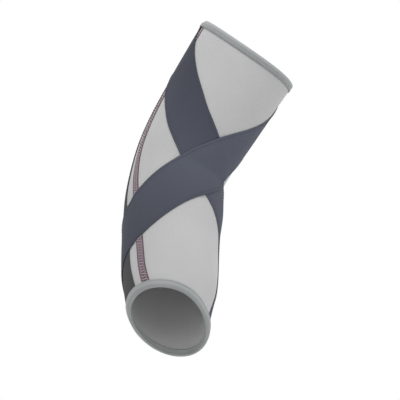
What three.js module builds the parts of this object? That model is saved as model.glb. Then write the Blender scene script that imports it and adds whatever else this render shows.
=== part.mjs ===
import * as THREE from "three";

// Elbow brace, in millimetres, held up in its worn shape: a bent tube that is open at both ends.
// The origin is the middle of the elbow. +Z is up, and the photo looks along +Y with +X to the right.
// A place on the tube is a pair: `along` is the distance from the elbow on the middle line, up positive,
// and `turn` is the angle round the tube, 0 on the crook side, -90 degrees about towards the viewer.

// Tube
const ELBOW_RADIUS = 41.5;
const UPPER_LENGTH = 138.8;
const LOWER_LENGTH = 138.5;
const SLEEVE_WALL = 1.6;
const UPPER_LEAN = 33.4;
const UPPER_SETBACK = 7;
const LOWER_LEAN = -3.6;
const LOWER_FORWARD = 30;
const BEND_SOFTNESS = 51;
const UPPER_SLANT = 6.6;
const UPPER_SLANT_TURN = 166;
const LOWER_SLANT = 17;
const LOWER_SLANT_TURN = -88;

// The dent on the crook side, gentler above than below.
const CROOK_DENT = 3.5;
const CROOK_DENT_ALONG = 12;
const CROOK_DENT_ABOVE = 45;
const CROOK_DENT_BELOW = 20;

// Cloth pieces on the sleeve
const LAYER_GAP = 0.6;
const BACK_PANEL_THICKNESS = 1;
const BACK_PANEL_HALF_WIDTH = 43.5;
const UNDER_BAND_WIDTH = 38;
const UNDER_BAND_THICKNESS = 1.2;
const OVER_BAND_WIDTH = 39;
const OVER_BAND_THICKNESS = 1.2;
const LIFT_MARGIN = 4.5;
const LIFT_RAMP = 10;

// Tape folded over each rim
const UPPER_BINDING_WIDTH = 8;
const UPPER_BINDING_THICKNESS = 1;
const LOWER_BINDING_WIDTH = 6.5;
const LOWER_BINDING_THICKNESS = 1;
const END_CLEARANCE = 0.5;

// Outside radius of the sleeve as shares of ELBOW_RADIUS, at shares of the length above or below the elbow.
const TUBE_PROFILE = [
  { at: -1.1, radius: 0.79 },
  { at: -1, radius: 0.835 },
  { at: -0.9, radius: 0.895 },
  { at: -0.8, radius: 0.947 },
  { at: -0.65, radius: 0.985 },
  { at: -0.42, radius: 0.996 },
  { at: -0.2, radius: 1.028 },
  { at: 0, radius: 1.045 },
  { at: 0.2, radius: 1.091 },
  { at: 0.45, radius: 1.128 },
  { at: 0.7, radius: 1.151 },
  { at: 1, radius: 1.19 },
  { at: 1.1, radius: 1.2 },
];

// Half width of the back panel as shares of BACK_PANEL_HALF_WIDTH.
const PANEL_PROFILE = [
  { at: -1.1, width: 1.05 },
  { at: -0.85, width: 1.06 },
  { at: -0.7, width: 1.02 },
  { at: -0.55, width: 1 },
  { at: -0.4, width: 0.93 },
  { at: -0.2, width: 0.81 },
  { at: -0.08, width: 0.78 },
  { at: 0.1, width: 0.73 },
  { at: 0.45, width: 0.7 },
  { at: 1.1, width: 0.74 },
];

// Middle lines of the two bands, from the upper rim to the lower one.
const UNDER_BAND_PATH = [
  { at: 1.15, turn: -183.1 },
  { at: 0.95, turn: -162.6 },
  { at: 0.76, turn: -137.8 },
  { at: 0.57, turn: -107.4 },
  { at: 0.46, turn: -88.8 },
  { at: 0.36, turn: -72.6 },
  { at: 0.22, turn: -46.5 },
  { at: 0.09, turn: -24.2 },
  { at: -0.06, turn: -2.1 },
  { at: -0.21, turn: 20.1 },
  { at: -0.33, turn: 39.9 },
  { at: -0.46, turn: 53.8 },
  { at: -0.62, turn: 59.8 },
  { at: -0.8, turn: 59.5 },
  { at: -0.96, turn: 52.9 },
  { at: -1.15, turn: 45.3 },
];
const OVER_BAND_PATH = [
  { at: 1.15, turn: 119.4 },
  { at: 0.95, turn: 98.6 },
  { at: 0.83, turn: 81.1 },
  { at: 0.71, turn: 63.0 },
  { at: 0.56, turn: 41.5 },
  { at: 0.42, turn: 19.3 },
  { at: 0.27, turn: -3.3 },
  { at: 0.09, turn: -24.9 },
  { at: -0.03, turn: -39.6 },
  { at: -0.155, turn: -59.3 },
  { at: -0.27, turn: -81.1 },
  { at: -0.38, turn: -106.6 },
  { at: -0.46, turn: -130.9 },
  { at: -0.55, turn: -154.9 },
  { at: -0.66, turn: -180.2 },
  { at: -0.8, turn: -204.1 },
  { at: -0.96, turn: -223.7 },
  { at: -1.15, turn: -242.3 },
];

// Facets
const TURN_FACETS = 36;
const ELBOW_REACH = 0.5;
const ELBOW_ROWS = 18;
const LEG_ROWS = 6;
const BAND_ROWS = 58;
const BAND_LANES = 8;
const PANEL_ROWS = 30;
const PANEL_LANES = 14;
const WALK_STEPS = 4;
const CENTRE_SAMPLES = 90;
const CUT_HALVINGS = 24;
const TINY = 1e-3;

const radians = THREE.MathUtils.degToRad;
const vector = (x, y, z) => new THREE.Vector3(x, y, z);

const upperDirection = vector(
  Math.sin(radians(UPPER_LEAN)) * Math.cos(radians(UPPER_SETBACK)),
  Math.sin(radians(UPPER_SETBACK)),
  Math.cos(radians(UPPER_LEAN)) * Math.cos(radians(UPPER_SETBACK)),
);
const lowerDirection = vector(
  -Math.sin(radians(LOWER_LEAN)) * Math.cos(radians(LOWER_FORWARD)),
  -Math.sin(radians(LOWER_FORWARD)),
  -Math.cos(radians(LOWER_LEAN)) * Math.cos(radians(LOWER_FORWARD)),
);
const sideDirection = upperDirection.clone().cross(lowerDirection).normalize();

// A smooth curve through a table's rows: a cubic between neighbours, with each row's slope taken from
// the rows beside it, and a straight line past the ends.
function readTable(table, column, at) {
  const slopeAt = (i) => {
    const before = table[Math.max(i - 1, 0)];
    const after = table[Math.min(i + 1, table.length - 1)];
    return (after[column] - before[column]) / (after.at - before.at);
  };
  const first = table[0];
  const last = table[table.length - 1];
  const rising = last.at > first.at;
  const ahead = (a, b) => (rising ? a - b : b - a);
  if (ahead(at, first.at) <= 0) return first[column] + slopeAt(0) * (at - first.at);
  if (ahead(at, last.at) >= 0) return last[column] + slopeAt(table.length - 1) * (at - last.at);
  const i = table.findIndex((row) => ahead(row.at, at) > 0) - 1;
  const step = table[i + 1].at - table[i].at;
  const k = (at - table[i].at) / step;
  return (
    (2 * k ** 3 - 3 * k ** 2 + 1) * table[i][column] +
    (k ** 3 - 2 * k ** 2 + k) * step * slopeAt(i) +
    (3 * k ** 2 - 2 * k ** 3) * table[i + 1][column] +
    (k ** 3 - k ** 2) * step * slopeAt(i + 1)
  );
}

const shareOf = (along) => along / (along > 0 ? UPPER_LENGTH : LOWER_LENGTH);
const alongOf = (share) => share * (share > 0 ? UPPER_LENGTH : LOWER_LENGTH);
const smooth = (k) => {
  const clamped = Math.min(Math.max(k, 0), 1);
  return clamped * clamped * (3 - 2 * clamped);
};

function tubeRadius(along, turn) {
  const away = along - CROOK_DENT_ALONG;
  const reach = away > 0 ? CROOK_DENT_ABOVE : CROOK_DENT_BELOW;
  const dent = (CROOK_DENT * Math.max(Math.cos(turn), 0)) / (1 + (away / reach) ** 2);
  return ELBOW_RADIUS * readTable(TUBE_PROFILE, "radius", shareOf(along)) - dent;
}

// The middle line is a soft corner between the upper and the lower direction.
// Returns the point `height` above the sleeve's outside at a place on the tube.
function surfacePoint(along, turn, height) {
  const root = Math.hypot(along, BEND_SOFTNESS);
  const middle = vector(0, 0, 0)
    .addScaledVector(upperDirection, (along + root - BEND_SOFTNESS) / 2)
    .addScaledVector(lowerDirection, (root - along - BEND_SOFTNESS) / 2);
  const forward = vector(0, 0, 0)
    .addScaledVector(upperDirection, (1 + along / root) / 2)
    .addScaledVector(lowerDirection, (along / root - 1) / 2)
    .normalize();
  const crookward = forward.cross(sideDirection).negate();
  const outward = crookward
    .multiplyScalar(Math.cos(turn))
    .addScaledVector(sideDirection, Math.sin(turn));
  return middle.addScaledVector(outward, tubeRadius(along, turn) + height);
}

const upperEdge = (turn) =>
  UPPER_LENGTH + UPPER_SLANT * Math.cos(turn - radians(UPPER_SLANT_TURN));
const lowerEdge = (turn) =>
  -LOWER_LENGTH + LOWER_SLANT * Math.cos(turn - radians(LOWER_SLANT_TURN));

// How far the binding reaches in from the sleeve's edge, without the part beyond the edge.
const upperReach = UPPER_BINDING_WIDTH - UPPER_BINDING_THICKNESS - LAYER_GAP;
const lowerReach = LOWER_BINDING_WIDTH - LOWER_BINDING_THICKNESS - LAYER_GAP;
const upperCut = (turn) => upperEdge(turn) - upperReach - END_CLEARANCE;
const lowerCut = (turn) => lowerEdge(turn) + lowerReach + END_CLEARANCE;

// Half the angle that the back panel covers, and how far a place lies outside its edge.
const panelHalfTurn = (along) =>
  (BACK_PANEL_HALF_WIDTH * readTable(PANEL_PROFILE, "width", shareOf(along))) /
  tubeRadius(along, Math.PI);
function outsidePanel(along, turn) {
  const fromBack = Math.abs(Math.atan2(Math.sin(turn - Math.PI), Math.cos(turn - Math.PI)));
  return (fromBack - panelHalfTurn(along)) * tubeRadius(along, turn);
}

// Steps sideways over the surface from a place, by a distance in the direction `toward`.
function walk(place, toward, distance) {
  const spot = { ...place };
  for (let i = 0; i < WALK_STEPS; i++) {
    const here = surfacePoint(spot.along, spot.turn, 0);
    const byAlong = surfacePoint(spot.along + TINY, spot.turn, 0).sub(here).divideScalar(TINY);
    const byTurn = surfacePoint(spot.along, spot.turn + TINY, 0).sub(here).divideScalar(TINY);
    const a = byAlong.dot(byAlong);
    const b = byAlong.dot(byTurn);
    const c = byTurn.dot(byTurn);
    const p = byAlong.dot(toward);
    const q = byTurn.dot(toward);
    const moveAlong = (c * p - b * q) / (a * c - b * b);
    const moveTurn = (a * q - b * p) / (a * c - b * b);
    const length = byAlong.multiplyScalar(moveAlong).addScaledVector(byTurn, moveTurn).length();
    spot.along += ((moveAlong / length) * distance) / WALK_STEPS;
    spot.turn += ((moveTurn / length) * distance) / WALK_STEPS;
  }
  return spot;
}

// A band's path: a place for each share of the way, and the direction across the band there.
function makePath(table) {
  const rows = table.map((row, i) => ({
    at: i / (table.length - 1),
    along: alongOf(row.at),
    turn: radians(row.turn),
  }));
  const placeAt = (way) => ({
    along: readTable(rows, "along", way),
    turn: readTable(rows, "turn", way),
  });
  const pointAt = (way) => {
    const place = placeAt(way);
    return surfacePoint(place.along, place.turn, 0);
  };
  const lane = (way, offset) => {
    const place = placeAt(way);
    const here = surfacePoint(place.along, place.turn, 0);
    const onward = pointAt(way + TINY).sub(here);
    const byAlong = surfacePoint(place.along + TINY, place.turn, 0).sub(here);
    const byTurn = surfacePoint(place.along, place.turn + TINY, 0).sub(here);
    const across = byAlong.cross(byTurn).cross(onward).normalize();
    return walk(place, across, offset);
  };
  const samples = [];
  for (let i = 0; i <= CENTRE_SAMPLES; i++) samples.push(pointAt(i / CENTRE_SAMPLES));
  return { lane, samples };
}

// Distance from a point to a path, measured to the nearest piece between its samples.
function distanceToPath(point, path) {
  const nearest = vector(0, 0, 0);
  let best = Infinity;
  for (let i = 0; i < path.samples.length - 1; i++) {
    const piece = new THREE.Line3(path.samples[i], path.samples[i + 1]);
    piece.closestPointToPoint(point, true, nearest);
    best = Math.min(best, nearest.distanceTo(point));
  }
  return best;
}

const underPath = makePath(UNDER_BAND_PATH);
const overPath = makePath(OVER_BAND_PATH);
const rampDown = (outside) => 1 - smooth((outside - LIFT_MARGIN) / LIFT_RAMP);
const panelStep = BACK_PANEL_THICKNESS + LAYER_GAP;
const underStep = UNDER_BAND_THICKNESS + LAYER_GAP;

// Height of each band's lower face above the sleeve: the gap, and a lift over the pieces that it covers.
const underHeight = (along, turn) => LAYER_GAP + panelStep * rampDown(outsidePanel(along, turn));
function overHeight(along, turn) {
  const point = surfacePoint(along, turn, 0);
  const outsideUnder = distanceToPath(point, underPath) - UNDER_BAND_WIDTH / 2;
  const overUnder = underHeight(along, turn) + underStep;
  const covered = rampDown(outsideUnder);
  return covered * overUnder + (1 - covered) * underHeight(along, turn);
}

// Turns lists of points into one closed solid. Faces are quads given by four point numbers, facing outward.
function solid(points, quads) {
  const geometry = new THREE.BufferGeometry();
  const corners = [];
  for (const [a, b, c, d] of quads) corners.push(a, b, c, a, c, d);
  const positions = points.flatMap((point) => point.toArray());
  geometry.setAttribute("position", new THREE.Float32BufferAttribute(positions, 3));
  geometry.setIndex(corners);
  geometry.computeVertexNormals();
  return geometry;
}

// A cloth sheet with two faces and a wall round its rim. `place(i, j)` gives the spot of each grid point,
// rows run with i and lanes with j, and `height` and `thickness` place its lower and upper face.
function sheetSolid(rows, lanes, place, height, thickness) {
  const points = [];
  const spots = [];
  for (let i = 0; i <= rows; i++) for (let j = 0; j <= lanes; j++) spots.push(place(i, j));
  const heights = spots.map((spot) => height(spot.along, spot.turn));
  spots.forEach((spot, n) => points.push(surfacePoint(spot.along, spot.turn, heights[n])));
  spots.forEach((spot, n) =>
    points.push(surfacePoint(spot.along, spot.turn, heights[n] + thickness)),
  );
  const low = (i, j) => i * (lanes + 1) + j;
  const high = (i, j) => low(i, j) + spots.length;
  const quads = [];
  for (let i = 0; i < rows; i++)
    for (let j = 0; j < lanes; j++) {
      quads.push([high(i, j), high(i, j + 1), high(i + 1, j + 1), high(i + 1, j)]);
      quads.push([low(i, j), low(i + 1, j), low(i + 1, j + 1), low(i, j + 1)]);
    }
  for (let i = 0; i < rows; i++) {
    quads.push([low(i, 0), high(i, 0), high(i + 1, 0), low(i + 1, 0)]);
    quads.push([low(i, lanes), low(i + 1, lanes), high(i + 1, lanes), high(i, lanes)]);
  }
  for (let j = 0; j < lanes; j++) {
    quads.push([low(0, j), low(0, j + 1), high(0, j + 1), high(0, j)]);
    quads.push([low(rows, j), high(rows, j), high(rows, j + 1), low(rows, j + 1)]);
  }
  return solid(points, quads);
}

// A ring round the tube: `section(turn)` gives a closed outline of {along, height} pairs, listed so that
// the outside face runs down and the inside face up.
function ringSolid(section) {
  const points = [];
  let count = 0;
  for (let i = 0; i < TURN_FACETS; i++) {
    const turn = (i / TURN_FACETS) * 2 * Math.PI;
    const outline = section(turn);
    count = outline.length;
    for (const corner of outline) points.push(surfacePoint(corner.along, turn, corner.height));
  }
  const quads = [];
  for (let i = 0; i < TURN_FACETS; i++)
    for (let j = 0; j < count; j++) {
      const here = i * count;
      const next = ((i + 1) % TURN_FACETS) * count;
      const after = (j + 1) % count;
      quads.push([here + j, here + after, next + after, next + j]);
    }
  return solid(points, quads);
}

// Shares of the way from the lower to the upper edge where the sleeve has a row of corners,
// closer together round the elbow.
function sleeveRows() {
  const elbow = LOWER_LENGTH / (LOWER_LENGTH + UPPER_LENGTH);
  const first = elbow * (1 - ELBOW_REACH);
  const last = elbow + (1 - elbow) * ELBOW_REACH;
  const rows = [];
  for (let i = 0; i < LEG_ROWS; i++) rows.push((first * i) / LEG_ROWS);
  for (let i = 0; i < ELBOW_ROWS; i++) rows.push(first + ((last - first) * i) / ELBOW_ROWS);
  for (let i = 0; i <= LEG_ROWS; i++) rows.push(last + ((1 - last) * i) / LEG_ROWS);
  return rows;
}

function sleeve() {
  const rows = sleeveRows();
  return ringSolid((turn) => {
    const low = lowerEdge(turn);
    const reach = upperEdge(turn) - low;
    const inside = rows.map((share) => ({ along: low + reach * share, height: -SLEEVE_WALL }));
    const outside = rows.map((share) => ({ along: low + reach * share, height: 0 }));
    return [...outside.reverse(), ...inside];
  });
}

function backPanel() {
  const place = (i, j) => {
    const way = i / PANEL_ROWS;
    const side = (2 * j) / PANEL_LANES - 1;
    const cutAt = (turn) => upperCut(turn) + (lowerCut(turn) - upperCut(turn)) * way;
    let turn = Math.PI;
    for (let n = 0; n < WALK_STEPS; n++) turn = Math.PI - side * panelHalfTurn(cutAt(turn));
    return { along: cutAt(turn), turn };
  };
  return sheetSolid(PANEL_ROWS, PANEL_LANES, place, () => LAYER_GAP, BACK_PANEL_THICKNESS);
}

// Finds where a lane of a band meets a cut line, between two shares of the way.
function findCut(path, offset, cut, outer, inner) {
  let beyond = outer;
  let within = inner;
  for (let n = 0; n < CUT_HALVINGS; n++) {
    const middle = (beyond + within) / 2;
    const spot = path.lane(middle, offset);
    if (cut(spot)) within = middle;
    else beyond = middle;
  }
  return within;
}

function band(path, width, height, thickness) {
  const ends = [];
  for (let j = 0; j <= BAND_LANES; j++) {
    const offset = width * (j / BAND_LANES - 1 / 2);
    const start = findCut(path, offset, (spot) => spot.along < upperCut(spot.turn), 0, 1 / 2);
    const end = findCut(path, offset, (spot) => spot.along > lowerCut(spot.turn), 1, 1 / 2);
    ends.push({ offset, start, end });
  }
  const place = (i, j) => {
    const { offset, start, end } = ends[j];
    return path.lane(start + ((end - start) * i) / BAND_ROWS, offset);
  };
  return sheetSolid(BAND_ROWS, BAND_LANES, place, height, thickness);
}

// Tape folded over a rim: its section is a rounded U. `edge` is the sleeve's edge, `outward` is +1 at the
// upper rim and -1 at the lower one.
function binding(edge, outward, reach, thickness) {
  const inner = -SLEEVE_WALL - LAYER_GAP;
  const round = thickness / 2;
  const outline = [
    { in: reach, height: LAYER_GAP },
    { in: -LAYER_GAP, height: LAYER_GAP },
    { in: -LAYER_GAP, height: inner },
    { in: reach, height: inner },
    { in: reach, height: inner - thickness },
    { in: round - LAYER_GAP - thickness, height: inner - thickness },
    { in: -LAYER_GAP - thickness, height: inner - thickness + round },
    { in: -LAYER_GAP - thickness, height: LAYER_GAP + thickness - round },
    { in: round - LAYER_GAP - thickness, height: LAYER_GAP + thickness },
    { in: reach, height: LAYER_GAP + thickness },
  ];
  const ordered = outward > 0 ? outline : outline.reverse();
  return ringSolid((turn) =>
    ordered.map((corner) => ({
      along: edge(turn) - outward * corner.in,
      height: corner.height,
    })),
  );
}

function addPiece(parent, name, geometry, colour) {
  const material = new THREE.MeshStandardMaterial({ color: colour, roughness: 0.9, metalness: 0 });
  const mesh = new THREE.Mesh(geometry, material);
  mesh.name = name;
  parent.add(mesh);
}

const group = new THREE.Group();
group.name = "elbow_brace";
addPiece(group, "sleeve", sleeve(), 0xc2c2c2);
addPiece(group, "back_panel", backPanel(), 0x525255);
addPiece(
  group,
  "under_band",
  band(underPath, UNDER_BAND_WIDTH, underHeight, UNDER_BAND_THICKNESS),
  0x50545f,
);
addPiece(
  group,
  "over_band",
  band(overPath, OVER_BAND_WIDTH, overHeight, OVER_BAND_THICKNESS),
  0x565964,
);
addPiece(
  group,
  "upper_binding",
  binding(upperEdge, 1, upperReach, UPPER_BINDING_THICKNESS),
  0x969b9b,
);
addPiece(
  group,
  "lower_binding",
  binding(lowerEdge, -1, lowerReach, LOWER_BINDING_THICKNESS),
  0xa0a3a3,
);

export default group;
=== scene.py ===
import bpy
import numpy as np
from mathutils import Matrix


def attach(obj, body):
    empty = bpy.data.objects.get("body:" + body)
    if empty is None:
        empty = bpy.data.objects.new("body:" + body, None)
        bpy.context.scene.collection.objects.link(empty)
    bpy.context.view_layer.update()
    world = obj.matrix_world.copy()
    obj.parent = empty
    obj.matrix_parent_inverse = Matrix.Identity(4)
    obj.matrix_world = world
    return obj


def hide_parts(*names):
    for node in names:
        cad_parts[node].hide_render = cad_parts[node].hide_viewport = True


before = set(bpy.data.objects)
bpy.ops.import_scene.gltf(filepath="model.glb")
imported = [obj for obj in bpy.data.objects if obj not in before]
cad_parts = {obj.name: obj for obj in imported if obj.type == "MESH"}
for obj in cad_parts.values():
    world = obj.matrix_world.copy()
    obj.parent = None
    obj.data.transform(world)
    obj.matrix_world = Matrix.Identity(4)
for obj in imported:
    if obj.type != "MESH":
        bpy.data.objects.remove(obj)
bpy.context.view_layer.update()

# Lengths are in millimetres until a mesh is made. A place on the tube is a pair: `along` is the distance
# from the elbow on the middle line, up positive, and `turn` is the angle round it, 0 on the crook side.
MM = 0.001
CLOSE = 1e-3
FULL_TURN = 2 * np.pi

# Tube: sizes as in the part's source, with a sharper crook and closer rims
ELBOW_RADIUS = 41.5
UPPER_LENGTH = 138.8
LOWER_LENGTH = 138.5
SLEEVE_WALL = 1.6
UPPER_LEAN = 33.4
UPPER_SETBACK = 7
LOWER_LEAN = -3.6
LOWER_FORWARD = 30
BEND_SOFTNESS = 51
UPPER_SLANT = 6.6
UPPER_SLANT_TURN = 166
UPPER_DIP = 3.4
UPPER_DIP_TURN = -74
LOWER_SLANT = 18
LOWER_SLANT_TURN = -88
CROOK_DENT = 6
CROOK_DENT_ALONG = 12
CROOK_DENT_ABOVE = 50
CROOK_DENT_BELOW = 14
CROOK_SWELL = 1.8
CROOK_SWELL_ALONG = -36
CROOK_SWELL_REACH = 22
RIM_GATHER = 3.4
RIM_GATHER_REACH = 24

# Cloth on the sleeve, thinner and closer than in the part's source
CLOTH_GAP = 0.1
PANEL_THICKNESS = 0.7
PANEL_HALF_WIDTH = 43.5
UNDER_BAND_WIDTH = 38
OVER_BAND_WIDTH = 39
BAND_THICKNESS = 0.8
LIFT_MARGIN = 0.4
LIFT_RAMP = 9
SEAM_LIFT = 0.45
SEAM_REACH = 6
UNDER_SPREAD = 0.15
UNDER_SPREAD_AT = 0.58
OVER_SPREAD = 0.2
OVER_SPREAD_AT = 0.36
SPREAD_REACH = 0.1
UPPER_BINDING_WIDTH = 6.2
LOWER_BINDING_WIDTH = 5.5
BINDING_THICKNESS = 0.6
TUCK = 3

# Stitches
EDGE_INSET = 2.2
UPPER_RIM_INSET = 4.7
LOWER_RIM_INSET = 4.1
STITCH_PITCH = 2.6
STITCH_RADIUS = 0.16
RIM_STITCH_RADIUS = 0.13
STEPS_PER_STITCH = 8
THREAD_SIDES = 6

# Flat seam: a low ridge, two looper threads over it and a needle thread on each side
RIDGE_WIDTH = 7.2
RIDGE_THICKNESS = 0.3
RIDGE_CROWN_MARGIN = 0.4
RIDGE_SINK = 0.05
LOOPER_WIDTH = 6.3
LOOPER_PITCH = 5.2
LOOPER_RADIUS = 0.22
LOOPER_HEIGHT = 0.35
STEPS_PER_LOOP = 12
NEEDLE_SPACING = 6.9
NEEDLE_PITCH = 2.2
NEEDLE_RADIUS = 0.3
NEEDLE_HEIGHT = 0.15

# How finely the pieces and the measured lines are divided
PATH_SAMPLES = 500
LANE_SAMPLES = 1500
RUN_SAMPLES = 800
GIRTH_SAMPLES = 721
DISTANCE_BATCH = 4000
HALVINGS = 24
BAND_LANES = 30
PANEL_LANES = 60
RIDGE_LANES = 14
PANEL_STITCH_RUN = 250

# Shares of the upper or lower length, up positive, each with a share of the elbow's radius
TUBE_PROFILE = [
    (-1.1, 0.79),
    (-1, 0.835),
    (-0.9, 0.895),
    (-0.8, 0.947),
    (-0.65, 0.985),
    (-0.42, 0.996),
    (-0.2, 1.028),
    (0, 1.045),
    (0.2, 1.091),
    (0.45, 1.128),
    (0.7, 1.151),
    (1, 1.19),
    (1.1, 1.2),
]
# The same shares, each with a share of the panel's half width
PANEL_PROFILE = [
    (-1.1, 1.05),
    (-0.85, 1.06),
    (-0.7, 1.02),
    (-0.55, 1),
    (-0.4, 0.93),
    (-0.2, 0.81),
    (-0.08, 0.78),
    (0.1, 0.73),
    (0.45, 0.7),
    (1.1, 0.74),
]
# The same shares, each with degrees of turn
UNDER_BAND_PATH = [
    (1.15, -183.1),
    (0.95, -162.6),
    (0.76, -137.8),
    (0.57, -107.4),
    (0.46, -88.8),
    (0.36, -72.6),
    (0.22, -46.5),
    (0.09, -24.2),
    (-0.06, -2.1),
    (-0.21, 20.1),
    (-0.33, 39.9),
    (-0.46, 53.8),
    (-0.62, 59.8),
    (-0.8, 59.5),
    (-0.96, 52.9),
    (-1.15, 45.3),
]
OVER_BAND_PATH = [
    (1.15, 119.4),
    (0.95, 98.6),
    (0.83, 81.1),
    (0.71, 63.0),
    (0.56, 41.5),
    (0.42, 19.3),
    (0.27, -3.3),
    (0.09, -24.9),
    (-0.03, -39.6),
    (-0.155, -59.3),
    (-0.27, -81.1),
    (-0.38, -106.6),
    (-0.46, -130.9),
    (-0.55, -154.9),
    (-0.66, -180.2),
    (-0.8, -204.1),
    (-0.96, -223.7),
    (-1.15, -242.3),
]
SEAM_PATH = [
    (1.1, -128.3),
    (0.7, -126.5),
    (0.4, -125.9),
    (0.2, -124.3),
    (0.05, -122.3),
    (-0.1, -115.6),
    (-0.3, -106.8),
    (-0.55, -101.0),
    (-0.75, -97.6),
    (-0.9, -91.0),
    (-1.1, -82.6),
]


def columns(table):
    """The columns of a table as arrays."""
    return [np.array(column, float) for column in zip(*table)]


def curve_through(x, y, at):
    """A cubic between neighbouring points, with slopes from the points beside, straight past the ends."""
    slope = np.empty_like(y)
    slope[1:-1] = (y[2:] - y[:-2]) / (x[2:] - x[:-2])
    slope[0] = (y[1] - y[0]) / (x[1] - x[0])
    slope[-1] = (y[-1] - y[-2]) / (x[-1] - x[-2])
    at = np.asarray(at, float)
    i = np.clip(np.searchsorted(x, at) - 1, 0, len(x) - 2)
    step = x[i + 1] - x[i]
    k = np.clip((at - x[i]) / step, 0, 1)
    inside = (
        (2 * k**3 - 3 * k**2 + 1) * y[i]
        + (k**3 - 2 * k**2 + k) * step * slope[i]
        + (3 * k**2 - 2 * k**3) * y[i + 1]
        + (k**3 - k**2) * step * slope[i + 1]
    )
    below = slope[0] * np.minimum(at - x[0], 0)
    above = slope[-1] * np.maximum(at - x[-1], 0)
    return inside + below + above


def unit(v):
    """Each vector divided by its length."""
    return v / np.linalg.norm(v, axis=-1, keepdims=True)


def running_length(points):
    """Length of the line through rows of points, from the first row up to each row."""
    steps = np.diff(points, axis=0, prepend=points[:1])
    return np.cumsum(np.linalg.norm(steps, axis=-1), axis=0)


def smooth(k):
    """0 below 0, 1 above 1, and 3 k squared minus 2 k cubed between."""
    k = np.clip(k, 0, 1)
    return k * k * (3 - 2 * k)


def direction(lean, depth, up):
    """Unit vector that leans to the right by one angle and goes along Y by another."""
    lean, depth = np.radians(lean), np.radians(depth)
    level = np.cos(depth)
    return up * np.array([np.sin(lean) * level, np.sin(depth), np.cos(lean) * level])


UPPER_DIRECTION = direction(UPPER_LEAN, UPPER_SETBACK, 1)
LOWER_DIRECTION = direction(LOWER_LEAN, LOWER_FORWARD, -1)
SIDE_DIRECTION = unit(np.cross(UPPER_DIRECTION, LOWER_DIRECTION))


def share_of(along):
    """Distance from the elbow as a share of the upper or the lower length."""
    return np.where(along > 0, along / UPPER_LENGTH, along / LOWER_LENGTH)


def along_of(share):
    """The reverse of share_of."""
    return np.where(share > 0, share * UPPER_LENGTH, share * LOWER_LENGTH)


def tube_radius(along, turn):
    """Radius from the profile table, with three changes on the crook side, times the cosine of the turn.

    A dent falls off as 1 / (1 + distance squared). Below it the tube is a little fuller, and it is drawn
    in at the lower rim, both as bell curves.
    """
    away = along - CROOK_DENT_ALONG
    reach = np.where(away > 0, CROOK_DENT_ABOVE, CROOK_DENT_BELOW)
    dent = CROOK_DENT / (1 + (away / reach) ** 2)
    swell = CROOK_SWELL * np.exp(-(((along - CROOK_SWELL_ALONG) / CROOK_SWELL_REACH) ** 2))
    gather = RIM_GATHER * np.exp(-(((along + LOWER_LENGTH) / RIM_GATHER_REACH) ** 2))
    change = (swell - gather - dent) * np.maximum(np.cos(turn), 0)
    return ELBOW_RADIUS * curve_through(*columns(TUBE_PROFILE), share_of(along)) + change


def surface_point(along, turn, height=0.0):
    """Middle line plus the radius and the height, turned round it.

    The line is a soft corner: with s the softness and r the root of along squared plus s squared, it is the
    upper direction times half of along + r - s, plus the lower direction times half of r - along - s.
    """
    along, turn, height = np.broadcast_arrays(along, turn, height)
    a = along[..., None].astype(float)
    root = np.hypot(a, BEND_SOFTNESS)
    middle = (
        UPPER_DIRECTION * (a + root - BEND_SOFTNESS) / 2
        + LOWER_DIRECTION * (root - a - BEND_SOFTNESS) / 2
    )
    forward = unit(UPPER_DIRECTION * (1 + a / root) / 2 + LOWER_DIRECTION * (a / root - 1) / 2)
    crookward = np.cross(SIDE_DIRECTION, forward)
    outward = crookward * np.cos(turn)[..., None] + SIDE_DIRECTION * np.sin(turn)[..., None]
    return middle + outward * (tube_radius(along, turn) + height)[..., None]


def surface_slopes(along, turn):
    """How the surface point moves for a small step along and a small turn."""
    here = surface_point(along, turn)
    by_along = (surface_point(along + CLOSE, turn) - here) / CLOSE
    by_turn = (surface_point(along, turn + CLOSE) - here) / CLOSE
    return by_along, by_turn


def surface_normal(along, turn):
    """Unit vector that points out of the tube, from the cross product of the two slopes."""
    by_along, by_turn = surface_slopes(along, turn)
    return unit(np.cross(by_turn, by_along))


def upper_edge(turn):
    """Where the sleeve ends above: slanted towards one side, and dipping in front as a squared cosine."""
    dip = UPPER_DIP * np.maximum(np.cos(turn - np.radians(UPPER_DIP_TURN)), 0) ** 2
    return UPPER_LENGTH + UPPER_SLANT * np.cos(turn - np.radians(UPPER_SLANT_TURN)) - dip


def lower_edge(turn):
    """Where the sleeve ends below, slanted so that the front is shorter."""
    return -LOWER_LENGTH + LOWER_SLANT * np.cos(turn - np.radians(LOWER_SLANT_TURN))


def upper_cut(turn):
    """Where the bands and the panel end above, tucked under the binding."""
    return upper_edge(turn) - UPPER_BINDING_WIDTH + TUCK


def lower_cut(turn):
    """Where the bands and the panel end below, tucked under the binding."""
    return lower_edge(turn) + LOWER_BINDING_WIDTH - TUCK


def walk(along, turn, toward, distance, steps=4):
    """Moves places sideways over the surface in a few steps.

    Each step solves two equations for the moves along and round whose sum on the surface follows `toward`.
    """
    for _ in range(steps):
        by_along, by_turn = surface_slopes(along, turn)
        a = (by_along * by_along).sum(-1)
        b = (by_along * by_turn).sum(-1)
        c = (by_turn * by_turn).sum(-1)
        p = (by_along * toward).sum(-1)
        q = (by_turn * toward).sum(-1)
        move_along = (c * p - b * q) / (a * c - b * b)
        move_turn = (a * q - b * p) / (a * c - b * b)
        move = by_along * move_along[..., None] + by_turn * move_turn[..., None]
        length = np.linalg.norm(move, axis=-1)
        along = along + move_along / length * distance / steps
        turn = turn + move_turn / length * distance / steps
    return along, turn


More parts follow.
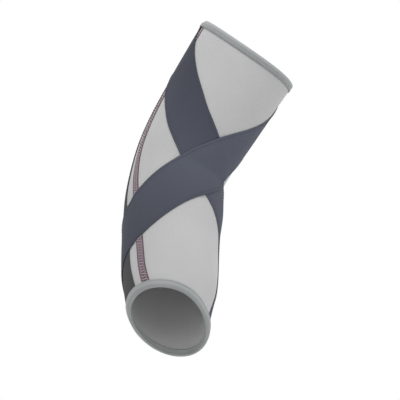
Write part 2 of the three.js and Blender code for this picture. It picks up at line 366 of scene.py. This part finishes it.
class Path:
    """A line on the tube through a table's rows. `way` runs from 0 at the first row to 1 at the last.

    Lanes on the crook's side of the line are further out by the share `spread`, as a bell curve round the
    way `spread_at`.
    """

    def __init__(self, table, spread=0.0, spread_at=0.5):
        share, degrees = columns(table)
        self.spread = spread
        self.spread_at = spread_at
        self.rows = np.linspace(0, 1, len(share))
        self.along = along_of(share)
        self.turn = np.radians(degrees)
        self.samples = surface_point(*self.place(np.linspace(0, 1, PATH_SAMPLES)))

    def place(self, way):
        """The place on the tube at a share of the way."""
        return curve_through(self.rows, self.along, way), curve_through(self.rows, self.turn, way)

    def lane(self, way, offset):
        """The place beside the line, `offset` to its side over the surface, square to the line."""
        way, offset = np.broadcast_arrays(way, offset)
        bell = np.exp(-(((way - self.spread_at) / SPREAD_REACH) ** 2))
        offset = np.where(offset < 0, offset * (1 + self.spread * bell), offset)
        along, turn = self.place(way)
        onward = surface_point(*self.place(way + CLOSE)) - surface_point(along, turn)
        across = unit(np.cross(-surface_normal(along, turn), onward))
        return walk(along, turn, across, offset)

    def distance(self, points):
        """Distance from each point to the nearest of the line's samples."""
        flat = points.reshape(-1, 3)
        best = np.empty(len(flat))
        for start in range(0, len(flat), DISTANCE_BATCH):
            batch = slice(start, start + DISTANCE_BATCH)
            gaps = flat[batch, None] - self.samples[None]
            best[batch] = np.sqrt((gaps**2).sum(-1).min(1))
        return best.reshape(points.shape[:-1])

    def crossing(self, offset, cut, outer, inner):
        """The way at which a lane meets a cut line, found by halving between an outer and an inner way."""
        beyond = np.full(offset.shape, float(outer))
        within = np.full(offset.shape, float(inner))
        for _ in range(HALVINGS):
            middle = (beyond + within) / 2
            inside = cut(*self.lane(middle, offset))
            within = np.where(inside, middle, within)
            beyond = np.where(inside, beyond, middle)
        return within

    def ends(self, offset):
        """The ways at which lanes meet the upper and the lower cut."""
        start = self.crossing(offset, lambda along, turn: along < upper_cut(turn), 0, 0.5)
        end = self.crossing(offset, lambda along, turn: along > lower_cut(turn), 1, 0.5)
        return start, end

    def middle_ends(self):
        """The ways at which the line itself meets the upper and the lower cut."""
        start, end = self.ends(np.array([0.0]))
        return start[0], end[0]


UNDER_PATH = Path(UNDER_BAND_PATH, UNDER_SPREAD, UNDER_SPREAD_AT)
OVER_PATH = Path(OVER_BAND_PATH, OVER_SPREAD, OVER_SPREAD_AT)
SEAM = Path(SEAM_PATH)


def panel_half_turn(along):
    """Half the angle that the back panel covers: its half width over the radius at the back."""
    width = PANEL_HALF_WIDTH * curve_through(*columns(PANEL_PROFILE), share_of(along))
    return width / tube_radius(along, np.pi)


def outside_panel(along, turn):
    """How far a place lies outside the panel's edge, measured round the tube."""
    from_back = np.abs(np.arctan2(np.sin(turn - np.pi), np.cos(turn - np.pi)))
    return (from_back - panel_half_turn(along)) * tube_radius(along, turn)


def ramp_down(outside):
    """1 on a piece and just beside it, easing to 0 further out."""
    return 1 - smooth((outside - LIFT_MARGIN) / LIFT_RAMP)


def on_sleeve(along, turn):
    """Height of cloth that lies on the sleeve, a little higher where it passes over the seam."""
    away = SEAM.distance(surface_point(along, turn))
    return CLOTH_GAP + SEAM_LIFT * np.exp(-((away / SEAM_REACH) ** 4))


def under_height(along, turn):
    """Lower face of the under band: on the sleeve, and lifted over the panel."""
    lift = PANEL_THICKNESS + CLOTH_GAP
    return on_sleeve(along, turn) + lift * ramp_down(outside_panel(along, turn))


def over_height(along, turn):
    """Lower face of the over band: as the under band's, and lifted over the under band."""
    outside = UNDER_PATH.distance(surface_point(along, turn)) - UNDER_BAND_WIDTH / 2
    return under_height(along, turn) + (BAND_THICKNESS + CLOTH_GAP) * ramp_down(outside)


def rim_height(along, turn):
    """Lower face of a binding: lifted over the tucked ends of the panel, the bands and the seam."""
    outside = OVER_PATH.distance(surface_point(along, turn)) - OVER_BAND_WIDTH / 2
    return over_height(along, turn) + (BAND_THICKNESS + CLOTH_GAP) * ramp_down(outside)


def make_object(name, points, quads, corner_uv=None):
    """A mesh from points in millimetres and faces of four point numbers, with a UV for each corner."""
    mesh = bpy.data.meshes.new(name)
    mesh.from_pydata((points * MM).tolist(), [], quads.tolist())
    if corner_uv is not None:
        layer = mesh.uv_layers.new(name="cloth")
        layer.data.foreach_set("uv", corner_uv.reshape(-1).astype(np.float32))
    mesh.polygons.foreach_set("use_smooth", np.ones(len(quads), bool))
    mesh.update()
    piece = bpy.data.objects.new(name, mesh)
    bpy.context.scene.collection.objects.link(piece)
    return piece


def grid_quads(rows, around, close_rows=False):
    """Faces of a grid of points whose second direction is closed into a loop, and the first where asked."""
    i = np.arange(rows if close_rows else rows - 1)[:, None]
    j = np.arange(around)[None]
    next_i = (i + 1) % rows
    next_j = (j + 1) % around
    corners = [i * around + j, next_i * around + j, next_i * around + next_j, i * around + next_j]
    return np.stack(corners, axis=-1).reshape(-1, 4)


def tube_quads(rows, around):
    """Faces of a grid of loops closed at both ends, by a strip of faces folded across each end loop."""
    j = np.arange(around // 2 - 1)
    first = np.stack([j, j + 1, around - 2 - j, around - 1 - j], axis=-1)
    last = first[:, ::-1] + (rows - 1) * around
    return np.concatenate([grid_quads(rows, around), first, last])


def faces_out(points, quads):
    """Turns the faces round if the closed surface's volume comes out negative.

    The volume is the sum over the faces' two triangles of the first corner dotted with the cross product of
    the other two.
    """
    a, b, c, d = (points[quads[:, k]] for k in range(4))
    volume = (a * (np.cross(b, c) + np.cross(c, d))).sum()
    return quads if volume > 0 else quads[:, ::-1]


def strip(name, points, uv):
    """A closed solid from rows of loops, with both ends shut."""
    flat = points.reshape(-1, 3)
    quads = faces_out(flat, tube_quads(*points.shape[:2]))
    return make_object(name, flat, quads, uv.reshape(-1, 2)[quads])


def ring(name, points, uv):
    """A closed solid from a loop of sections round the tube, whose UVs go on past the last section."""
    rows, around = points.shape[:2]
    flat = points.reshape(-1, 3)
    quads = faces_out(flat, grid_quads(rows, around, close_rows=True))
    corner_uv = uv.reshape(-1, 2)[quads]
    last = (quads // around).max(axis=1) == rows - 1
    wraps = last[:, None] & (quads // around == 0)
    corner_uv[..., 0] += wraps * FULL_TURN * ELBOW_RADIUS
    return make_object(name, flat, quads, corner_uv)


def cloth_section(width, thickness, lanes, rounding):
    """Outline of a flat band's section: across, and height as a share of the thickness.

    The edges are half circles. The top runs from one edge to the other, and the bottom comes back with as
    many points.
    """
    half = np.linspace(-1, 1, lanes)
    inner = width / 2 - thickness / 2
    across = half * inner
    corner = np.linspace(0, np.pi / 2, rounding + 1)[1:]
    side = inner + np.sin(corner) * thickness / 2
    lift = 0.5 + 0.5 * np.cos(corner)
    top_across = np.concatenate([-side[::-1], across, side])
    top_height = np.concatenate([lift[::-1], np.ones(lanes), lift])
    section_across = np.concatenate([top_across, top_across[::-1]])
    section_height = np.concatenate([top_height, 1 - top_height[::-1]])
    return section_across, section_height


def carried(path, across, rows):
    """Places of a section carried along a path, each lane cut where it runs under a binding."""
    start, end = path.ends(across)
    way = start + (end - start) * np.linspace(0, 1, rows)[:, None]
    return path.lane(way, across)


def woven_strip(name, points, across):
    """A strip whose UVs are the distance across its section and the length run along it."""
    length = running_length(points)
    return strip(name, points, np.stack([np.broadcast_to(across, length.shape), length], axis=-1))


def band_piece(name, path, width, height, rows):
    """A band: a flat section carried along the path, at the height that the layers below it leave."""
    across, level = cloth_section(width, BAND_THICKNESS, BAND_LANES, rounding=3)
    along, turn = carried(path, across, rows)
    points = surface_point(along, turn, height(along, turn) + level * BAND_THICKNESS)
    return woven_strip(name, points, across)


def panel_spot(side, way):
    """A place on the back panel: `side` from -1 to 1 across, `way` from the upper to the lower cut.

    The turn depends on the place along and the cuts on the turn, so both are worked out in rounds.
    """
    turn = np.pi - side * panel_half_turn(np.zeros_like(way))
    for _ in range(4):
        along = upper_cut(turn) + (lower_cut(turn) - upper_cut(turn)) * way
        turn = np.pi - side * panel_half_turn(along)
    return along, turn


def panel_piece(name, rows):
    """The back panel: a wide sheet on the outer side with round edges."""
    across, level = cloth_section(2 * PANEL_HALF_WIDTH, PANEL_THICKNESS, PANEL_LANES, rounding=3)
    way, side = np.broadcast_arrays(np.linspace(0, 1, rows)[:, None], across / PANEL_HALF_WIDTH)
    along, turn = panel_spot(side, way)
    points = surface_point(along, turn, CLOTH_GAP + level * PANEL_THICKNESS)
    uv = np.stack([(turn - np.pi) * ELBOW_RADIUS, along], axis=-1)
    return strip(name, points, uv)


def sleeve_piece(name, rows, facets):
    """The sleeve: a thin tube whose outline runs up the outside and down the inside."""
    turn = np.linspace(0, FULL_TURN, facets, endpoint=False)[:, None]
    share = np.linspace(0, 1, rows)
    share = np.concatenate([share, share[::-1]])
    height = np.concatenate([np.zeros(rows), np.full(rows, -SLEEVE_WALL)])
    low = lower_edge(turn)
    along = low + (upper_edge(turn) - low) * share
    turn, height = np.broadcast_arrays(turn, height)
    points = surface_point(along, turn, height)
    uv = np.stack([turn * ELBOW_RADIUS, along], axis=-1)
    return ring(name, points, uv)


def binding_outline(width, corner_points, flat_points):
    """Outline of a folded tape's section: how far in from the sleeve's edge, and the height from mid cloth.

    It is a flat part, a half circle round the edge and a flat part back, outside first and then inside.
    """
    reach = width - BINDING_THICKNESS
    flat = np.linspace(reach, 0, flat_points)
    bend = np.linspace(0, np.pi, corner_points)[1:-1]
    radius = SLEEVE_WALL / 2 + CLOTH_GAP
    outer = radius + BINDING_THICKNESS
    level = np.ones(flat_points)
    unit_height = np.concatenate([level, np.cos(bend), -level])
    outer_in = np.concatenate([flat, -np.sin(bend) * outer, flat[::-1]])
    inner_in = np.concatenate([flat, -np.sin(bend) * radius, flat[::-1]])
    inset = np.concatenate([outer_in, inner_in[::-1]])
    return inset, np.concatenate([unit_height * outer, unit_height[::-1] * radius])


def binding_piece(name, edge, outward, width, facets):
    """Tape folded over a rim: a U section carried round, raised where it covers other pieces' ends."""
    inset, level = binding_outline(width, corner_points=12, flat_points=7)
    turn = np.linspace(0, FULL_TURN, facets, endpoint=False)[:, None]
    along = edge(turn) - outward * inset
    turn, level = np.broadcast_arrays(turn, level)
    covered = edge(turn) - outward * width
    lift = rim_height(covered, turn) - CLOTH_GAP
    taper = smooth((np.broadcast_to(inset, turn.shape) + BINDING_THICKNESS) / width * 2)
    height = level - SLEEVE_WALL / 2 + np.where(level > 0, lift * taper, 0)
    points = surface_point(along, turn, height)
    uv = np.stack([turn * ELBOW_RADIUS, np.broadcast_to(inset, turn.shape)], axis=-1)
    return ring(name, points, uv)


def even_ways(path, offset, spacing, start, end):
    """Ways at even distances along a lane, and those distances."""
    way = np.linspace(start, end, LANE_SAMPLES)
    run = running_length(surface_point(*path.lane(way, offset)))
    even_run = np.linspace(0, run[-1], int(run[-1] / spacing))
    return np.interp(even_run, run, way), even_run


def thread(points, normals, radius):
    """A thin round tube along a line of points: returns its points and faces."""
    onward = unit(np.gradient(points, axis=0))
    across = unit(np.cross(onward, normals))
    upward = np.cross(across, onward)
    angle = np.linspace(0, FULL_TURN, THREAD_SIDES, endpoint=False)[:, None]
    circle = across[:, None] * np.cos(angle) + upward[:, None] * np.sin(angle)
    flat = (points[:, None] + circle * radius).reshape(-1, 3)
    return flat, faces_out(flat, tube_quads(len(points), THREAD_SIDES))


def thread_piece(name, threads):
    """One piece from several threads."""
    points = []
    quads = []
    count = 0
    for flat, faces in threads:
        points.append(flat)
        quads.append(faces + count)
        count += len(flat)
    return make_object(name, np.concatenate(points), np.concatenate(quads))


def stitched_line(along, turn, run, height, pitch, radius, bite=0.5, rise=1.1):
    """A sewn thread that rises over the cloth and dips into it once each pitch, as a cosine of the run."""
    wave = np.cos(FULL_TURN * run / pitch)
    level = height + radius * (bite + rise * wave)
    return thread(surface_point(along, turn, level), surface_normal(along, turn), radius)


def band_edge_stitches(name, path, width, height):
    """Two stitched lines along a band, just inside its edges."""
    threads = []
    for side in (-1, 1):
        offset = side * (width / 2 - EDGE_INSET)
        start, end = path.ends(np.array([offset]))
        way, run = even_ways(path, offset, STITCH_PITCH / STEPS_PER_STITCH, start[0], end[0])
        along, turn = path.lane(way, offset)
        level = height(along, turn) + BAND_THICKNESS
        threads.append(stitched_line(along, turn, run, level, STITCH_PITCH, STITCH_RADIUS))
    return thread_piece(name, threads)


def panel_edge_stitches(name):
    """Two stitched lines down the back panel, just inside its edges."""
    threads = []
    for side in (-1, 1):
        share = side * (1 - EDGE_INSET / PANEL_HALF_WIDTH)
        way = np.linspace(0, 1, int(PANEL_STITCH_RUN / STITCH_PITCH * STEPS_PER_STITCH))
        along, turn = panel_spot(np.full_like(way, share), way)
        run = running_length(surface_point(along, turn))
        level = CLOTH_GAP + PANEL_THICKNESS
        threads.append(stitched_line(along, turn, run, level, STITCH_PITCH, STITCH_RADIUS))
    return thread_piece(name, threads)


def rim_stitches(name, edge, outward, width, inset):
    """A line of a whole number of stitches round a binding, near its inner edge, on the outside."""
    steps = int(FULL_TURN * ELBOW_RADIUS / STITCH_PITCH) * STEPS_PER_STITCH
    turn = np.linspace(0, FULL_TURN, steps + 1)
    along = edge(turn) - outward * inset
    lift = rim_height(edge(turn) - outward * width, turn)
    run = running_length(surface_point(along, turn))
    run = run / run[-1] * round(run[-1] / STITCH_PITCH) * STITCH_PITCH
    level = lift + BINDING_THICKNESS
    line = stitched_line(along, turn, run, level, STITCH_PITCH, RIM_STITCH_RADIUS)
    return thread_piece(name, [line])


def seam_ridge(name, rows):
    """The low ridge under the seam's stitches: half an ellipse across, sunk a little into the sleeve."""
    across, level = cloth_section(RIDGE_WIDTH, RIDGE_THICKNESS, RIDGE_LANES, rounding=2)
    along, turn = carried(SEAM, across, rows)
    crown = np.sqrt(np.clip(1 - (across / (RIDGE_WIDTH / 2 + RIDGE_CROWN_MARGIN)) ** 2, 0, 1))
    points = surface_point(along, turn, level * crown * RIDGE_THICKNESS - RIDGE_SINK)
    return woven_strip(name, points, across)


def seam_looper(name):
    """The seam's looper threads: two zigzags in opposite phase that cross in the middle.

    Each swing is 0.7 of a triangle wave and 0.3 of its sine, and lies lower towards the sides, as an
    ellipse does.
    """
    way, run = even_ways(SEAM, 0.0, LOOPER_PITCH / STEPS_PER_LOOP, *SEAM.middle_ends())
    threads = []
    for phase in (0, 0.5):
        wave = 2 * np.abs(2 * np.mod(run / LOOPER_PITCH + phase, 1) - 1) - 1
        swing = np.sin(wave * np.pi / 2) * 0.3 + wave * 0.7
        along, turn = SEAM.lane(way, swing * LOOPER_WIDTH / 2)
        crown = np.sqrt(np.clip(1 - (swing * 0.85) ** 2, 0, 1))
        level = LOOPER_HEIGHT * crown + LOOPER_RADIUS * (0.2 + phase)
        points = surface_point(along, turn, level)
        threads.append(thread(points, surface_normal(along, turn), LOOPER_RADIUS))
    return thread_piece(name, threads)


def seam_needle(name):
    """The seam's needle threads: a flatter stitched line on each side."""
    threads = []
    for side in (-1, 1):
        offset = side * NEEDLE_SPACING / 2
        way, run = even_ways(SEAM, offset, NEEDLE_PITCH / STEPS_PER_STITCH, *SEAM.middle_ends())
        along, turn = SEAM.lane(way, offset)
        line = stitched_line(
            along, turn, run, NEEDLE_HEIGHT, NEEDLE_PITCH, NEEDLE_RADIUS, bite=0.3, rise=0.35
        )
        threads.append(line)
    return thread_piece(name, threads)


class Value:
    """A shader socket that can be used in a Python expression: each operator adds a Math node."""

    def __init__(self, tree, socket):
        self.tree = tree
        self.socket = socket

    def math(self, operation, *others):
        """One Math node on this value and the others."""
        return self.tree.node("ShaderNodeMath", {"operation": operation}, [self, *others])

    def __add__(self, other):
        return self.math("ADD", other)

    __radd__ = __add__

    def __mul__(self, other):
        return self.math("MULTIPLY", other)

    __rmul__ = __mul__

    def __sub__(self, other):
        return self.math("SUBTRACT", other)

    def __rsub__(self, other):
        return (self * -1.0) + other

    def __truediv__(self, other):
        return self.math("DIVIDE", other)

    def __pow__(self, other):
        return self.math("POWER", other)

    def sine(self):
        """Sine of the value in radians."""
        return self.math("SINE")

    def size(self):
        """The value without its sign."""
        return self.math("ABSOLUTE")

    def part(self):
        """The value less the whole number below it."""
        return self.math("FRACT")


# Sockets of the Mix node that are for colours
MIX_FIRST_COLOUR = 6
MIX_SECOND_COLOUR = 7
MIX_COLOUR_RESULT = 2


class Finish:
    """A material being made: its node tree and its shader."""

    def __init__(self, name):
        self.material = bpy.data.materials.new(name)
        self.material.use_nodes = True
        self.nodes = self.material.node_tree.nodes
        self.links = self.material.node_tree.links
        self.nodes.clear()
        output = self.nodes.new("ShaderNodeOutputMaterial")
        self.shader = self.nodes.new("ShaderNodeBsdfPrincipled")
        self.links.new(self.shader.outputs["BSDF"], output.inputs["Surface"])

    def node(self, kind, settings, inputs, output=0):
        """Any node from its type, its settings and the values or links of its sockets."""
        made = self.nodes.new(kind)
        for key, setting in settings.items():
            setattr(made, key, setting)
        pairs = inputs.items() if isinstance(inputs, dict) else enumerate(inputs)
        for key, given in pairs:
            self.put(made.inputs[key], given)
        return Value(self, made.outputs[output])

    def put(self, socket, given):
        """Sets a socket to a number, a colour or another node's value."""
        if isinstance(given, Value):
            self.links.new(given.socket, socket)
        else:
            socket.default_value = given

    def parts(self, vector):
        """The X, Y and Z of a vector."""
        split = self.node("ShaderNodeSeparateXYZ", {}, [vector]).socket.node
        return [Value(self, split.outputs[axis]) for axis in "XYZ"]

    def cloth(self):
        """The cloth's own coordinates in millimetres, from its UV map: across and along."""
        return self.parts(self.node("ShaderNodeUVMap", {"uv_map": "cloth"}, {}))[:2]

    def place(self):
        """Object coordinates in metres."""
        return self.node("ShaderNodeTexCoord", {}, {}, "Object")

    def cloud(self, scale, detail=3.0):
        """Soft noise about 0.5 on Object coordinates."""
        sockets = {"Vector": self.place(), "Scale": scale, "Detail": detail}
        return self.node("ShaderNodeTexNoise", {}, sockets, "Fac")

    def mix(self, factor, first, second):
        """A colour between two colours."""
        sockets = {"Factor": factor, MIX_FIRST_COLOUR: first, MIX_SECOND_COLOUR: second}
        return self.node("ShaderNodeMix", {"data_type": "RGBA"}, sockets, MIX_COLOUR_RESULT)

    def bump(self, height, depth):
        """A Bump node, as deep as `depth` millimetres, that feeds the shader's normal."""
        sockets = {"Height": height, "Distance": depth * MM, "Strength": 1.0}
        self.put(self.shader.inputs["Normal"], self.node("ShaderNodeBump", {}, sockets))

    def set(self, **sockets):
        """Sets the shader's own sockets: underscores stand for spaces."""
        for key, given in sockets.items():
            self.put(self.shader.inputs[key.replace("_", " ")], given)


def shade(colour, factor):
    """A colour made lighter or darker."""
    return tuple(part * factor for part in colour[:3]) + (1,)


def knit_finish(name, colour, wale, course, depth, contrast, sheen, shine):
    """Fine elastic knit: columns of small V stitches, a little darker between the columns.

    A column's crown is a parabola, and its stitches are a sine whose phase runs back from the middle.
    """
    finish = Finish(name)
    across, along = finish.cloth()
    column = (across / wale).part() - 0.5
    stitch = ((along / course + column.size() * 1.4) * FULL_TURN).sine() * 0.5 + 0.5
    crown = 1 - (column * 2) ** 2
    relief = crown * (stitch * 0.6 + 0.4)
    patch = finish.cloud(38.0)
    tone = relief * contrast + patch * 0.35
    finish.set(
        Base_Color=finish.mix(tone, shade(colour, 0.86), shade(colour, 1.1)),
        Roughness=0.88 - relief * 0.08,
        Sheen_Weight=sheen,
        Sheen_Roughness=0.5,
        Specular_IOR_Level=shine,
    )
    finish.bump(relief, depth)
    return finish.material


# Length of a band over which its painted light and shade change
PAINTED_SHADING_RUN = 350


def elastic_finish(name, colour, rib, weft, depth, start_shading, end_shading):
    """Woven elastic: fine ribs along the band, crossed by a weft that changes sides from rib to rib.

    The ribs are a sine across without its sign, the weft a sine along. Painted light and shade go from
    one tone to another on the way down, standing in for light that falls more on one end of the band.
    """
    finish = Finish(name)
    across, along = finish.cloth()
    ridge = (across * (np.pi / rib)).sine().size()
    swap = (across / rib).math("FLOOR") * np.pi
    cross = (along * (FULL_TURN / weft) + swap).sine() * 0.5 + 0.5
    relief = ridge * (cross * 0.5 + 0.5)
    patch = finish.cloud(30.0)
    # Painted light and shade: the colour goes from one tone to another along the band, as the light falls
    # on it
    painted_shading = along * ((end_shading - start_shading) / PAINTED_SHADING_RUN) + start_shading
    tone = relief * 0.45 + patch * 0.3 + painted_shading
    finish.set(
        Base_Color=finish.mix(tone, shade(colour, 0.7), shade(colour, 1.32)),
        Roughness=0.85 - relief * 0.1,
        Sheen_Weight=0.02,
        Sheen_Roughness=0.45,
        Specular_IOR_Level=0.15,
    )
    finish.bump(relief, depth)
    return finish.material


# How far in from the fold the painted light along it goes
FOLD_REACH = 1.6


def tape_finish(name, colour, twill, depth, fold_light_and_shade):
    """Folded tape: fine slanted twill lines with soft patches, and painted light beside and on the fold: a
    painted highlight for a positive fold tone, a painted shadow for a negative one.

    The lines are a sine of the distance round plus 0.8 of the distance in, crossed by a finer sine.
    """
    finish = Finish(name)
    around, inward = finish.cloth()
    slant = ((around + inward * 0.8) * (FULL_TURN / twill)).sine() * 0.5 + 0.5
    grain = (inward * (FULL_TURN / (twill * 0.7))).sine() * 0.5 + 0.5
    relief = slant * 0.7 + grain * 0.3
    patch = finish.cloud(55.0)
    # Painted light along the fold: lighter for a painted highlight, darker for a painted shadow, by the
    # sign of the fold tone
    fold = ((FOLD_REACH - inward) * 1.2).math("MAXIMUM", 0.0).math("MINIMUM", 1.0)
    tone = relief * 0.3 + patch * 0.35 + fold * fold_light_and_shade + 0.1
    finish.set(
        Base_Color=finish.mix(tone, shade(colour, 0.8), shade(colour, 1.5)),
        Roughness=0.82,
        Sheen_Weight=0.2,
        Specular_IOR_Level=0.3,
    )
    finish.bump(relief, depth)
    return finish.material


# Spacing and depth of a thread's twist lines
THREAD_TWIST = 0.5
THREAD_DEPTH = 0.04


def thread_finish(name, colour):
    """Sewing thread: slanted twist lines, a sine of X plus Z in Object coordinates."""
    finish = Finish(name)
    x, _, z = finish.parts(finish.place())
    twisted = ((x + z) * (FULL_TURN / (THREAD_TWIST * MM))).sine() * 0.5 + 0.5
    finish.set(
        Base_Color=finish.mix(twisted * 0.7, shade(colour, 0.82), shade(colour, 1.2)),
        Roughness=0.6,
        Specular_IOR_Level=0.4,
    )
    finish.bump(twisted, THREAD_DEPTH)
    return finish.material


def dress(piece, material, slot, *replaced):
    """Gives a piece its material and its body, and hides the CAD nodes it stands for; the slot is not used.
    """
    piece.data.materials.append(material)
    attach(piece, "root")
    if replaced:
        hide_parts(*replaced)
    return piece


def run_length(along, turn):
    """Length of a line over the sleeve's surface, in metres."""
    return running_length(surface_point(along, turn))[-1] * MM


def line_length(path):
    """Length of a path between the two cuts, in metres."""
    return run_length(*path.place(np.linspace(*path.middle_ends(), RUN_SAMPLES)))


def girth(edge):
    """Length of a rim, in metres."""
    turn = np.linspace(0, FULL_TURN, GIRTH_SAMPLES)
    return run_length(edge(turn), turn)


def back_length(low, high):
    """Length down the back between two rims or cuts, in metres."""
    return run_length(np.linspace(low(np.pi), high(np.pi), RUN_SAMPLES), np.pi)


def tape_width(width):
    """Width of a folded tape laid flat, in metres: its two flat parts and the half circle between."""
    middle = SLEEVE_WALL / 2 + CLOTH_GAP + BINDING_THICKNESS / 2
    return (2 * (width - BINDING_THICKNESS) + np.pi * middle) * MM


SLEEVE_GREY = (0.375, 0.375, 0.378)
PANEL_GREY = (0.055, 0.055, 0.057)
BAND_SLATE = (0.062, 0.068, 0.088)
# Painted shade: the under band is the same elastic as the over band, its colour made darker as if less lit
SHADED_UNDER_SLATE = (0.05, 0.055, 0.073)
UPPER_TAPE_GREY = (0.19, 0.197, 0.2)
LOWER_TAPE_GREY = (0.235, 0.246, 0.246)
MAUVE = (0.04, 0.022, 0.031)
MAUVE_DARK = (0.045, 0.028, 0.038)
MAUVE_PALE = (0.58, 0.46, 0.51)

knit = knit_finish(
    "light_knit", SLEEVE_GREY, wale=1.3, course=1.0, depth=0.12, contrast=0.5, sheen=0.2, shine=0.25
)
dark_knit = knit_finish(
    "dark_knit", PANEL_GREY, wale=1.3, course=1.0, depth=0.14, contrast=0.5, sheen=0.02, shine=0.15
)
mauve_ground = knit_finish(
    "mauve_ground", MAUVE, wale=0.8, course=0.7, depth=0.1, contrast=0.5, sheen=0.0, shine=0.15
)
# Painted light and shade along the bands: the over band lighter at its upper end, the under band darker
# there
elastic = elastic_finish(
    "slate_elastic", BAND_SLATE, rib=1.25, weft=0.9, depth=0.14, start_shading=0.75, end_shading=-0.6
)
shaded_under_elastic = elastic_finish(
    "shaded_slate_elastic", SHADED_UNDER_SLATE, rib=1.25, weft=0.9, depth=0.14, start_shading=-0.6, end_shading=1.3
)
# The upper tape gets a painted highlight along its fold, and the lower tape a painted shadow there
upper_tape = tape_finish("grey_tape", UPPER_TAPE_GREY, twill=0.9, depth=0.1, fold_light_and_shade=0.5)
lower_tape = tape_finish("pale_grey_tape", LOWER_TAPE_GREY, twill=0.9, depth=0.1, fold_light_and_shade=-0.25)
slate_thread = thread_finish("slate_thread", shade(BAND_SLATE, 0.8))
dark_thread = thread_finish("dark_thread", shade(PANEL_GREY, 0.8))
tape_thread = thread_finish("tape_thread", shade(LOWER_TAPE_GREY, 0.95))
mauve_thread = thread_finish("mauve_thread", MAUVE_DARK)
pale_thread = thread_finish("pale_mauve_thread", MAUVE_PALE)

sleeve = sleeve_piece("sleeve_cloth", rows=150, facets=180)
dress(sleeve, knit, "sleeve", "sleeve")
back_panel = panel_piece("back_panel_cloth", rows=150)
dress(back_panel, dark_knit, "back_panel", "back_panel")
under_band = band_piece("under_band_cloth", UNDER_PATH, UNDER_BAND_WIDTH, under_height, rows=360)
dress(under_band, shaded_under_elastic, "under_band", "under_band")
over_band = band_piece("over_band_cloth", OVER_PATH, OVER_BAND_WIDTH, over_height, rows=400)
dress(over_band, elastic, "over_band", "over_band")
upper_binding = binding_piece("upper_binding_tape", upper_edge, 1, UPPER_BINDING_WIDTH, facets=360)
dress(upper_binding, upper_tape, "upper_binding", "upper_binding")
lower_binding = binding_piece("lower_binding_tape", lower_edge, -1, LOWER_BINDING_WIDTH, facets=360)
dress(lower_binding, lower_tape, "lower_binding", "lower_binding")

seam = [
    dress(seam_ridge("seam_ridge", rows=260), mauve_ground, "sleeve"),
    dress(seam_looper("seam_looper_thread"), pale_thread, "sleeve"),
    dress(seam_needle("seam_needle_thread"), mauve_thread, "sleeve"),
]
under_stitches = band_edge_stitches("under_band_stitches", UNDER_PATH, UNDER_BAND_WIDTH, under_height)
dress(under_stitches, slate_thread, "under_band")
over_stitches = band_edge_stitches("over_band_stitches", OVER_PATH, OVER_BAND_WIDTH, over_height)
dress(over_stitches, slate_thread, "over_band")
panel_stitches = panel_edge_stitches("back_panel_stitches")
dress(panel_stitches, dark_thread, "back_panel")
upper_stitches = rim_stitches(
    "upper_rim_stitches", upper_edge, 1, UPPER_BINDING_WIDTH, UPPER_RIM_INSET
)
dress(upper_stitches, tape_thread, "upper_binding")
lower_stitches = rim_stitches(
    "lower_rim_stitches", lower_edge, -1, LOWER_BINDING_WIDTH, LOWER_RIM_INSET
)
dress(lower_stitches, tape_thread, "lower_binding")

# Flat sizes of the cloth in its worn shape: width and length
sleeve_flat = (girth(upper_edge), back_length(lower_edge, upper_edge))
panel_width = 2 * PANEL_HALF_WIDTH * max(columns(PANEL_PROFILE)[1]) * MM
panel_flat = (panel_width, back_length(lower_cut, upper_cut))
under_flat = (UNDER_BAND_WIDTH * MM, line_length(UNDER_PATH))
over_flat = (OVER_BAND_WIDTH * MM, line_length(OVER_PATH))
upper_tape_flat = (tape_width(UPPER_BINDING_WIDTH), girth(upper_edge))
lower_tape_flat = (tape_width(LOWER_BINDING_WIDTH), girth(lower_edge))


FLOOR_HEIGHT = -330.0
FLOOR_RINGS = (0.5, 300, 600, 900)
FLOOR_SECTORS = 96
PALE = (0.9, 0.9, 0.9, 1)
PALE_SHADE = (0.84, 0.84, 0.84, 1)
WHITE = (1, 1, 1, 1)
# Name, place in metres, size in metres and power in watts of each soft light
LIGHTS = (
    ("high_light", (0.1, -0.5, 1.2), 0.8, 10.0),
    ("side_light", (1.0, -0.6, 0.1), 0.6, 1.2),
)


def studio():
    """Round pale floor well below the part, white surroundings, and a soft light above and one at right."""
    turn = np.linspace(0, FULL_TURN, FLOOR_SECTORS, endpoint=False)
    radius = np.array(FLOOR_RINGS)[:, None]
    x, y = radius * np.cos(turn), radius * np.sin(turn)
    points = np.stack([x, y, np.full_like(x, FLOOR_HEIGHT)], axis=-1)
    floor = make_object("floor", points.reshape(-1, 3), grid_quads(*x.shape))
    finish = Finish("pale_floor")
    grain = finish.cloud(12.0)
    finish.set(Base_Color=finish.mix(grain * 0.3, PALE, PALE_SHADE), Roughness=0.9)
    floor.data.materials.append(finish.material)

    world = bpy.data.worlds.new("white")
    world.use_nodes = True
    background = world.node_tree.nodes["Background"]
    background.inputs["Color"].default_value = WHITE
    background.inputs["Strength"].default_value = 1.0
    bpy.context.scene.world = world
    bpy.context.scene.view_settings.view_transform = "Standard"

    for name, place, size, power in LIGHTS:
        lamp = bpy.data.lights.new(name, "AREA")
        lamp.size = size
        lamp.energy = power
        light = bpy.data.objects.new(name, lamp)
        light.location = place
        light.rotation_euler = light.location.to_track_quat("Z", "Y").to_euler()
        bpy.context.scene.collection.objects.link(light)


CAMERA_PLACE = (0.01885, -1.187, -0.016)
CAMERA_LENS = 120
CAMERA_SENSOR = 36


def photo_camera():
    """Level camera in front, with the photo's middle in the middle of its view."""
    lens = bpy.data.cameras.new("photo_view")
    lens.lens = CAMERA_LENS
    lens.sensor_width = CAMERA_SENSOR
    camera = bpy.data.objects.new("photo_view", lens)
    camera.location = CAMERA_PLACE
    camera.rotation_euler = (np.pi / 2, 0, 0)
    bpy.context.scene.collection.objects.link(camera)
    bpy.context.scene.camera = camera


studio()
photo_camera()
